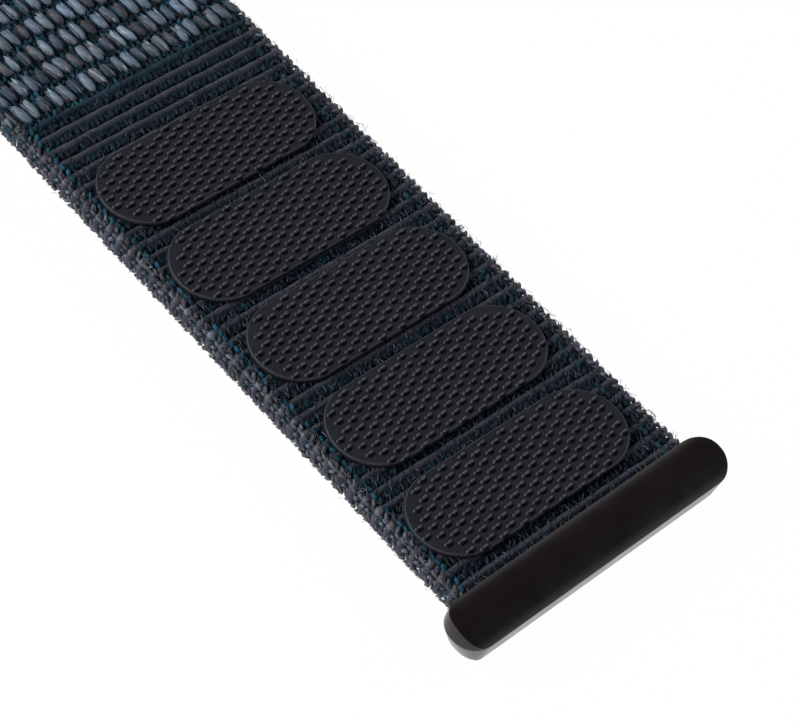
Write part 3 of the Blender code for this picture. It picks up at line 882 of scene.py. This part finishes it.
# The sewing: its rows' distances from the rod, its stitches and their pitch and half sizes
THREAD_ROWS = (2.35 * MM, 3.05 * MM)
THREAD_STITCHES = 17
THREAD_PITCH = 1.25 * MM
THREAD_SIZE = (0.16 * MM, 0.5 * MM, 0.14 * MM, 1)


def loop_outline(neck, rise):
    """The turned-back cloth seen from its edge, as points round the rod's middle."""
    high, low = Vector((neck, rise)), Vector((neck, -rise))
    leaves = Vector((math.cos(LOOP_LEAVES), math.sin(LOOP_LEAVES))) * LOOP_RADIUS
    returns = Vector((leaves.x, -leaves.y))
    line = []
    for i in range(LOOP_STEPS):
        t = i / LOOP_STEPS
        if t < LOOP_TOP:
            line.append(high.lerp(leaves, t / LOOP_TOP))
        elif t < LOOP_TURN:
            share = (t - LOOP_TOP) / (LOOP_TURN - LOOP_TOP)
            angle = LOOP_LEAVES + share * (math.tau - 2 * LOOP_LEAVES)
            line.append(Vector((math.cos(angle), math.sin(angle))) * LOOP_RADIUS)
        elif t < LOOP_UNDER:
            line.append(returns.lerp(low, (t - LOOP_TURN) / (LOOP_UNDER - LOOP_TURN)))
        else:
            line.append(low.lerp(high, (t - LOOP_UNDER) / (1 - LOOP_UNDER)))
    return line


def sew(shape, weave, rib):
    """Rows of stitches on both sides of the turned-back cloth."""
    for row in THREAD_ROWS:
        level = BAND_THICK / 2 + 0.22 * MM - 0.11 * (row - THREAD_ROWS[0])
        for side in (-1, 1):
            for number in range(THREAD_STITCHES):
                y = (number - (THREAD_STITCHES - 1) / 2) * THREAD_PITCH
                place = Matrix.Translation((row, y, side * level)) @ Matrix.Diagonal(THREAD_SIZE)
                made = bmesh.ops.create_uvsphere(shape, u_segments=8, v_segments=5, radius=1.0)
                bmesh.ops.transform(shape, matrix=place, verts=made["verts"])
                for vert in made["verts"]:
                    vert[rib] = 1.0
                    vert[weave] = vert.co


def sewn_loop(ground):
    """The far end of the cloth, turned back round the end frame's rod and sewn with two rows of thread."""
    outer = loop_outline(LOOP_NECK, BAND_THICK / 2)
    shape = bmesh.new()
    weave = shape.verts.layers.float_vector.new("weave")
    rib = shape.verts.layers.float.new("rib")
    half = BAND_WIDTH / 2 - 0.1 * MM
    rings = []
    for share, drawn in LOOP_EDGE:
        ring = []
        gone = 0.0
        for number, place in enumerate(outer):
            gone += (place - outer[number - 1]).length if number else 0.0
            wave = 0.5 + 0.5 * math.cos(gone / RIB_PITCH * math.tau)
            size = 1 - ((1 - wave) * LOOP_RIPPLE + drawn * MM) / max(place.length, 1.2 * MM)
            vert = shape.verts.new((place.x * size, half * share, place.y * size))
            vert[weave] = (STRAP_END - place.x + gone, half * share, 0)
            vert[rib] = wave
            ring.append(vert)
        rings.append(ring)
    for share in (1.0, -1.0):
        bore = [place.normalized() * LOOP_BORE for place in outer]
        rings.append([shape.verts.new((place.x, half * share, place.y)) for place in bore])
    for ring, other in zip(rings, rings[1:] + rings[:1]):
        bridge(shape, ring, other)
    sew(shape, weave, rib)
    pivot = Matrix.Translation(JOINTS["end_frame_pivot"]["pos_m"])
    bmesh.ops.transform(shape, matrix=pivot, verts=shape.verts)
    loop = mesh_object("sewn_loop", shape, ground)
    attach(loop, "strap_end")
    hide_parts("band_end")


CHILD_BAND = {joint["name"]: child for distance, joint, parent, child in band_joints()}


# Hook pads

HOOK_ACROSS = 1.821 * MM
HOOK_ALONG = 0.824 * MM
HOLLOW_DEPTH = 0.09 * MM
PAD_LEVEL = 0.36 * MM
PAD_RADIUS = 3.6 * MM
# Half the length of a pad's straight sides
PAD_STRAIGHT = 5.825 * MM
PAD_ROWS = 100
PAD_COLUMNS = 190
# Node, turn, place across and along, turn of its hooks, and their shift along and across
PAD_PLACES = (
    ("hook_pad_1", -0.3, -0.35, -0.08, -1.2, 0.076, -0.722),
    ("hook_pad_2", 0.0, -0.10, 0.08, 0.3, 0.048, -0.639),
    ("hook_pad_3", 0.0, 0.0, 0.22, -1.0, -0.020, -0.685),
    ("hook_pad_4", 0.0, -0.20, 0.09, -0.1, -0.103, -0.559),
    ("hook_pad_5", 0.4, -0.20, -0.07, -2.0, -0.081, 0.344),
)
# A hook's two lobes: place along and across, length, width, height and turn
HOOK_LOBES = (
    (0.07, -0.28, 0.42, 0.22, 0.13, 0.50),
    (0.02, 0.15, 0.56, 0.25, 0.15, 0.10),
)
# More rows and columns of hooks than a pad has room for
LATTICE_ROWS, LATTICE_COLUMNS = 20, 12
# A hollow lies this far along and across from its hook's place, and has these half sizes
HOLLOW_ALONG, HOLLOW_ACROSS = 0.23 * MM, 0.06 * MM
HOLLOW_HALF_ALONG, HOLLOW_HALF_ACROSS = 0.165 * MM, 0.34 * MM
# How far the pad's raised rim reaches in from the edge, and how far its rounded corner does
RIM_WIDTH = 0.17 * MM
RIM_RADIUS = 0.07 * MM


def mesh_object(name, shape, material):
    """A smooth object of this shape, with its faces outward."""
    bmesh.ops.recalc_face_normals(shape, faces=shape.faces)
    mesh = bpy.data.meshes.new(name)
    shape.to_mesh(mesh)
    shape.free()
    mesh.shade_smooth()
    mesh.materials.append(material)
    return placed(name, mesh)


def bridge(shape, ring, other):
    """Quads between two closed rings of vertices."""
    for a, b, c, d in zip(ring, ring[1:] + ring[:1], other[1:] + other[:1], other):
        shape.faces.new((a, b, c, d))


def quads(shape, grid):
    """Quads over a grid of vertices; returns the grid's rim as a closed ring."""
    for line, other in zip(grid, grid[1:]):
        for j in range(len(line) - 1):
            shape.faces.new((line[j], other[j], other[j + 1], line[j + 1]))
    rim = grid[0][:-1] + [line[-1] for line in grid[:-1]]
    return rim + grid[-1][:0:-1] + [line[0] for line in grid[:0:-1]]


def crowded(number, count):
    """Even steps from -1 to 1, drawn closer together at both ends."""
    t = 2 * number / count - 1
    return t * (1.25 - 0.25 * t * t)


def pad_blank(material):
    """The pad before its hooks: a flat stadium, finely divided on top, with a wall and a base."""
    shape = bmesh.new()
    grid = []
    for i in range(PAD_ROWS + 1):
        x = PAD_RADIUS * crowded(i, PAD_ROWS)
        reach = PAD_STRAIGHT + math.sqrt(max(0.0, PAD_RADIUS ** 2 - x * x))
        line = [(x, reach * crowded(j, PAD_COLUMNS), PAD_LEVEL) for j in range(PAD_COLUMNS + 1)]
        grid.append([shape.verts.new(place) for place in line])
    rim = quads(shape, grid)
    foot = [shape.verts.new((vert.co.x, vert.co.y, 0.0)) for vert in rim]
    bridge(shape, rim, foot)
    shape.faces.new(foot)
    return mesh_object("pad_blank", shape, material)


def inside_border(graph, x, y):
    """Whether a hook at this place keeps off the pad's rim."""
    end = graph.math("MAXIMUM", graph.math("ABSOLUTE", y) + 0.30 * MM - PAD_STRAIGHT, 0.0)
    away = graph.math("SQRT", x * x + end * end)
    return graph.math("LESS_THAN", away, PAD_RADIUS - 0.15 * MM)


def hook_turn(graph, given):
    """Cosine and sine of the turn of a pad's hooks."""
    return graph.math("COSINE", given["Hook Turn"]), graph.math("SINE", given["Hook Turn"])


def pad_place(graph, given, along, across):
    """The place on a pad of a point of the hooks' own lattice."""
    cosine, sine = hook_turn(graph, given)
    return along * cosine - across * sine, along * sine + across * cosine


def hollow_rows(graph, given, along, across, offset):
    """Depth of the hollows in front of every second row of hooks."""
    row = graph.math("ROUND", along / HOOK_ALONG + offset) - offset
    column = graph.math("ROUND", across / HOOK_ACROSS + offset) - offset
    row_place, column_place = row * HOOK_ALONG, column * HOOK_ACROSS
    place = pad_place(
        graph, given, row_place + given["Shift Along"], column_place + given["Shift Across"]
    )
    kept = inside_border(graph, *place)
    u = (along - row_place - HOLLOW_ALONG) / HOLLOW_HALF_ALONG
    v = (across - column_place - HOLLOW_ACROSS) / HOLLOW_HALF_ACROSS
    return graph.span(graph.math("SQRT", u * u + v * v), 1.25, 0.35, smooth=True) * kept


def hook_shape(graph):
    """One moulded hook: two rounded lobes side by side."""
    lobes = []
    for along, across, length, width, height, turn in HOOK_LOBES:
        lobe = graph.geo("MeshUVSphere", 8, 6, 1.0)
        turned = graph.node("FunctionNodeEulerToRotation", (0.0, 0.0, turn))
        place = (along * MM, across * MM, 0.0)
        size = (width * MM / 2, length * MM / 2, height * MM)
        lobes.append(
            graph.geo("Transform", lobe, Translation=place, Rotation=turned, Scale=size)
        )
    # The lobes' upper parts carry the painted highlight mask, which colours their tops paler.
    height = graph.part(graph.geo("InputPosition"), "Z")
    return graph.store(graph.join(lobes), "painted_highlight", graph.span(height, 0.0, 0.12 * MM))


def laid_hooks(graph, given):
    """A hook at each place of the lattice that keeps off the rim."""
    index = graph.geo("InputIndex")
    row = graph.math("FLOOR", (index + 0.5) / LATTICE_COLUMNS)
    column = index - row * LATTICE_COLUMNS
    odd = graph.math("MODULO", row, 2.0)
    along = (row - LATTICE_ROWS / 2) * HOOK_ALONG * 0.5 + given["Shift Along"]
    across = (column - LATTICE_COLUMNS / 2 + odd * 0.5) * HOOK_ACROSS + given["Shift Across"]
    x, y = pad_place(graph, given, along, across)
    place = graph.combine(x, y, PAD_LEVEL)
    points = graph.geo("Points", LATTICE_ROWS * LATTICE_COLUMNS, place)
    turn = graph.node("FunctionNodeRandomValue", -0.05, 0.05, index, 1, data_type="FLOAT")
    turn = graph.combine(0.0, 0.0, given["Hook Turn"] + turn)
    wear_and_painted_highlight = graph.node("FunctionNodeRandomValue", 0.88, 1.1, index, 2, data_type="FLOAT")
    return graph.geo(
        "InstanceOnPoints", points, Selection=inside_border(graph, x, y),
        Instance=hook_shape(graph), Rotation=graph.node("FunctionNodeEulerToRotation", turn),
        Scale=graph.combine(wear_and_painted_highlight, wear_and_painted_highlight, wear_and_painted_highlight),
    )


def pad_tree(blank, material):
    """Sinks a pad's hollows into its flat top, rounds its rim and sets its hooks."""
    graph, given = geometry_tree("moulded hooks", "Float: Hook Turn, Shift Along, Shift Across")
    pad = graph.geo("ObjectInfo", blank, out="Geometry")
    place = graph.geo("InputPosition")
    x, y, z = (graph.part(place, axis) for axis in "XYZ")
    over = graph.math("MAXIMUM", graph.math("ABSOLUTE", y) - PAD_STRAIGHT, 0.0)
    edge = PAD_RADIUS - graph.math("SQRT", x * x + over * over)
    on_top = graph.math("GREATER_THAN", z, 0.1 * MM)
    cosine, sine = hook_turn(graph, given)
    along = x * cosine + y * sine - given["Shift Along"]
    across = y * cosine - x * sine - given["Shift Across"]
    hollow = hollow_rows(graph, given, along, across, 0.0) + hollow_rows(graph, given, along, across, 0.5)
    rim = graph.span(edge, 0.0, 0.06 * MM, smooth=True)
    rim = rim * graph.span(edge, RIM_WIDTH, 0.09 * MM, smooth=True)
    drop = graph.span(edge, RIM_RADIUS, 0.0, smooth=True) * -0.06 * MM
    height = rim * 0.03 * MM + drop - hollow * HOLLOW_DEPTH
    # The rim carries half the painted highlight mask, so the material colours it paler.
    pad = graph.store(pad, "painted_highlight", rim * 0.5)
    # The hollows' mask also carries painted shade into the material's colour.
    pad = graph.store(pad, "hollow", hollow)
    pad = graph.geo("SetPosition", pad, Offset=graph.combine(0.0, 0.0, height * on_top))
    pad = graph.geo("RealizeInstances", graph.join([pad, laid_hooks(graph, given)]))
    pad = graph.geo("SetShadeSmooth", pad)
    return graph.finish(graph.geo("SetMaterial", pad, None, material))


def body_of(node):
    bodies = frame["record"]["behaviour"]["bodies"]
    return next(body for body, nodes in bodies.items() if node in nodes)


def hook_pads(material):
    blank = pad_blank(material)
    tree = pad_tree(blank, material)
    for node, turn, across, along, hook_turn, shift_along, shift_across in PAD_PLACES:
        values = {
            "Hook Turn": math.radians(hook_turn - turn), "Shift Along": shift_along * MM,
            "Shift Across": shift_across * MM,
        }
        low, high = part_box(node)
        middle = (low + high) / 2
        seat = Vector((middle.x + along * MM, middle.y + across * MM, TIP_FLOOR + BAND_THICK))
        pad = run_tree("moulded_" + node, tree, values)
        pad.data.transform(Matrix.Translation(seat) @ Matrix.Rotation(math.radians(turn), 4, "Z"))
        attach(pad, body_of(node))
        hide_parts(node)
    bpy.data.objects.remove(blank)


# Stop bar

BAR_HALF_WIDTH = 1.92 * MM
BAR_HALF_LENGTH = 12.9 * MM
BAR_PLAN_CORNER = 1.8 * MM
BAR_SHIFT = Vector((0.10, -0.43, 0)) * MM
BAR_SIDE_DRAFT = 0.42
BAR_TOP_RADIUS = 3.2 * MM
BAR_TOP_LINE = -0.45 * MM
BAR_END_SLOPE = 3.4
BAR_TURN = 0.6
BAR_ROWS = 36
BAR_END_STEPS = 7
# The faint line along the top: place, half width and height
BAR_LINE = (-0.12 * MM, 0.10 * MM, 0.015 * MM)
# How far the sloped ends bulge, and the least depth that they have
BAR_END_BULGE = 0.35
BAR_END_LEAST = 0.02 * MM
# Below the widest line, as (drawn in, share of the height down to the bottom)
BAR_UNDERSIDE = (
    (0.01, 0.01),
    (0.03, 0.04),
    (0.56, 0.56),
    (0.64, 0.64),
    (0.80, 0.80),
    (1.30, 1.0),
)


def plan_reach(x):
    """How far the bar reaches along its length at this place across it."""
    past = max(0.0, abs(x) - (BAR_HALF_WIDTH - BAR_PLAN_CORNER))
    return BAR_HALF_LENGTH - BAR_PLAN_CORNER + math.sqrt(max(0.0, BAR_PLAN_CORNER ** 2 - past ** 2))


def plan_outward(x, y):
    """Direction straight out of the bar's outline at a point of it."""
    inner = Vector((BAR_HALF_WIDTH - BAR_PLAN_CORNER, BAR_HALF_LENGTH - BAR_PLAN_CORNER))
    past = [math.copysign(max(0.0, abs(place) - limit), place) for place, limit in zip((x, y), inner)]
    return Vector(past).normalized()


def stop_bar(material):
    """The moulded bar: an arched top with a sloped face at each end, over a body that is drawn in."""
    shape = bmesh.new()
    middle = (BAR_LOW + BAR_HIGH) / 2
    half_height = (BAR_HIGH.z - BAR_LOW.z) / 2
    parting = half_height - BAR_TOP_RADIUS
    parting += math.sqrt(BAR_TOP_RADIUS ** 2 - (BAR_HALF_WIDTH - BAR_TOP_LINE) ** 2)
    line_place, line_half, line_height = BAR_LINE
    grid = []
    for i in range(BAR_ROWS + 1):
        x = BAR_HALF_WIDTH * crowded(i, BAR_ROWS)
        arch = half_height - BAR_TOP_RADIUS + math.sqrt(BAR_TOP_RADIUS ** 2 - (x - BAR_TOP_LINE) ** 2)
        arch += line_height * max(0.0, 1 - abs(x - line_place) / line_half)
        reach = plan_reach(x)
        deep = max(BAR_END_LEAST, (arch - parting) / BAR_END_SLOPE)
        line = []
        for j in range(BAR_END_STEPS + 1):
            t = j / BAR_END_STEPS
            line.append((deep * t, parting + (arch - parting) * (t + BAR_END_BULGE * t * (1 - t))))
        ends = [(x, drawn - reach, z) for drawn, z in line]
        spans = [(x, (reach - deep) * share, arch) for share in (-0.5, 0.0, 0.5)]
        other = [(x, -y, z) for x, y, z in reversed(ends)]
        grid.append([shape.verts.new(place) for place in ends + spans + other])
    rim = quads(shape, grid)
    for line, other in zip(grid, grid[1:]):
        for j in (BAR_END_STEPS, len(line) - 1 - BAR_END_STEPS):
            shape.edges.get((line[j], other[j])).smooth = False
    for vert, other in zip(rim, rim[1:] + rim[:1]):
        shape.edges.get((vert, other)).smooth = False
    ring = rim
    for inset, share in BAR_UNDERSIDE:
        lower = []
        for vert in rim:
            outward = plan_outward(vert.co.x, vert.co.y)
            x = vert.co.x - outward.x * inset * BAR_SIDE_DRAFT * MM
            y = vert.co.y - outward.y * inset * MM
            lower.append(shape.verts.new((x, y, parting - share * (half_height + parting))))
        bridge(shape, ring, lower)
        ring = lower
    shape.faces.new(ring)
    turn = Matrix.Translation(middle + BAR_SHIFT) @ Matrix.Rotation(math.radians(BAR_TURN), 4, "Z")
    bmesh.ops.transform(shape, matrix=turn, verts=shape.verts)
    bmesh.ops.remove_doubles(shape, verts=shape.verts, dist=0.001 * MM)
    bar = mesh_object("moulded_stop_bar", shape, material)
    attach(bar, "tip_1")
    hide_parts("stop_bar")


# Spring bars


def half_spring(node, joint, material):
    """Half of a coil spring: the spring's mesh cut at its middle on one plunger's side, attached to the
    spring's body.
    """
    low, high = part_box(node)
    middle = (low + high) / 2
    outward = -JOINTS[joint]["axis"][1]
    shape = bmesh.new()
    shape.from_mesh(frame["nodes"][node].data)
    bmesh.ops.transform(shape, matrix=frame["nodes"][node].matrix_world, verts=shape.verts)
    bmesh.ops.remove_doubles(shape, verts=shape.verts, dist=1e-7)
    cut = bmesh.ops.bisect_plane(
        shape, geom=shape.verts[:] + shape.edges[:] + shape.faces[:], plane_co=middle,
        plane_no=(0, outward, 0), clear_inner=True,
    )
    edges = [part for part in cut["geom_cut"] if isinstance(part, bmesh.types.BMEdge)]
    bmesh.ops.holes_fill(shape, edges=edges)
    half = mesh_object("half_" + joint.replace("_slide", "_spring"), shape, material)
    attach(half, body_of(node))
    travel = max(JOINTS[joint]["range_m"]) / ((high.y - low.y) / 2)
    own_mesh(half)
    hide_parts(node)


# Stage


def camera():
    """The photograph's camera: place, aim and roll."""
    data = bpy.data.cameras.new("camera")
    data.lens = CAMERA_LENS
    data.sensor_width = SENSOR_WIDTH
    data.clip_start = 0.01
    made = placed("camera", data)
    aim = (CAMERA_AIM - CAMERA_PLACE).to_track_quat("-Z", "Y")
    roll = Quaternion((0, 0, 1), CAMERA_ROLL)
    made.matrix_world = Matrix.Translation(CAMERA_PLACE) @ (aim @ roll).to_matrix().to_4x4()
    bpy.context.scene.camera = made


def seen_plainly(graph):
    """One for rays from the camera, in reflections and through clear pieces; nought for other light."""
    path = graph.node("ShaderNodeLightPath").end.node
    rays = [Socket(graph, path.outputs["Is %s Ray" % kind]) for kind in ("Camera", "Glossy", "Transmission")]
    return graph.math("MAXIMUM", graph.math("MAXIMUM", rays[0], rays[1]), rays[2])


def floor():
    """A white table top that keeps a faint shadow."""
    mesh = bpy.data.meshes.new("table")
    shape = bmesh.new()
    bmesh.ops.create_grid(shape, x_segments=1, y_segments=1, size=3.0)
    shape.to_mesh(mesh)
    shape.free()
    white, graph, shader = new_material(
        "white_table", Base_Color=(0.8, 0.8, 0.8, 1), Roughness=0.9, Specular_IOR_Level=0.0
    )
    glow = graph.node("ShaderNodeEmission", Strength=1.02)
    lit = Socket(graph, shader.outputs[0])
    shown = graph.node("ShaderNodeMixShader", seen_plainly(graph) * 0.96, lit, glow)
    graph.feed(white.node_tree.nodes["Material Output"].inputs["Surface"], shown)
    mesh.materials.append(white)
    placed("table", mesh)


def world():
    """A white backdrop round the horizon that goes over into a dark ceiling; the camera sees only white."""
    made = bpy.data.worlds.new("studio")
    bpy.context.scene.world = made
    made.use_nodes = True
    graph = Graph(made.node_tree)
    back = made.node_tree.nodes["Background"]
    back.inputs["Color"].default_value = (1, 1, 1, 1)
    path = graph.node("ShaderNodeLightPath").end.node
    direction = graph.node("ShaderNodeTexCoord", out="Generated")
    backdrop = graph.span(graph.part(direction, "Z"), 0.55, 0.12, 0.10, 1.0, smooth=True)
    to_camera = Socket(graph, path.outputs["Is Camera Ray"])
    to_gloss = Socket(graph, path.outputs["Is Glossy Ray"])
    strength = backdrop * (0.95 + to_gloss * 0.05)
    graph.feed(back.inputs["Strength"], graph.math("MAXIMUM", strength, to_camera))


def area_light(name, place, aim, size, power):
    data = bpy.data.lights.new(name, "AREA")
    data.shape = "RECTANGLE"
    data.size, data.size_y = size
    data.energy = power
    made = placed(name, data)
    turn = (Vector(aim) - Vector(place)).to_track_quat("-Z", "Y")
    made.matrix_world = Matrix.Translation(place) @ turn.to_matrix().to_4x4()


def lights():
    shown = (0.09, 0, 0)
    area_light("left_box", (-0.24, -0.46, 0.36), shown, (0.45, 0.30), 3.6)
    area_light("right_fill", (0.22, 0.50, 0.20), shown, (0.40, 0.25), 0.45)


ground = core_material(mottle_group())
woven_band(ground, yarn_material(yarn_grain_group()))
sewn_loop(ground)
hook_pads(hook_material())
stop_bar(bar_material())
camera()
floor()
world()
lights()

steel = steel_material("frame_steel", (0.11, 0.11, 0.12), 0.3, 9000.0)
bright = steel_material("bright_steel", (0.6, 0.6, 0.61), 0.24, 9000.0)
wire = steel_material("spring_steel", (0.5, 0.5, 0.51), 0.3, 6000.0)
for bar in ("open_bar", "end_bar"):
    for kind in ("release", "plain"):
        half_spring(bar + "_spring", "%s_%s_slide" % (bar, kind), wire)
for name, node in frame["nodes"].items():
    if not node.hide_render:
        node.material_slots[0].material = steel if name.startswith("lug_frame") else bright

bpy.context.scene.view_settings.view_transform = "Standard"
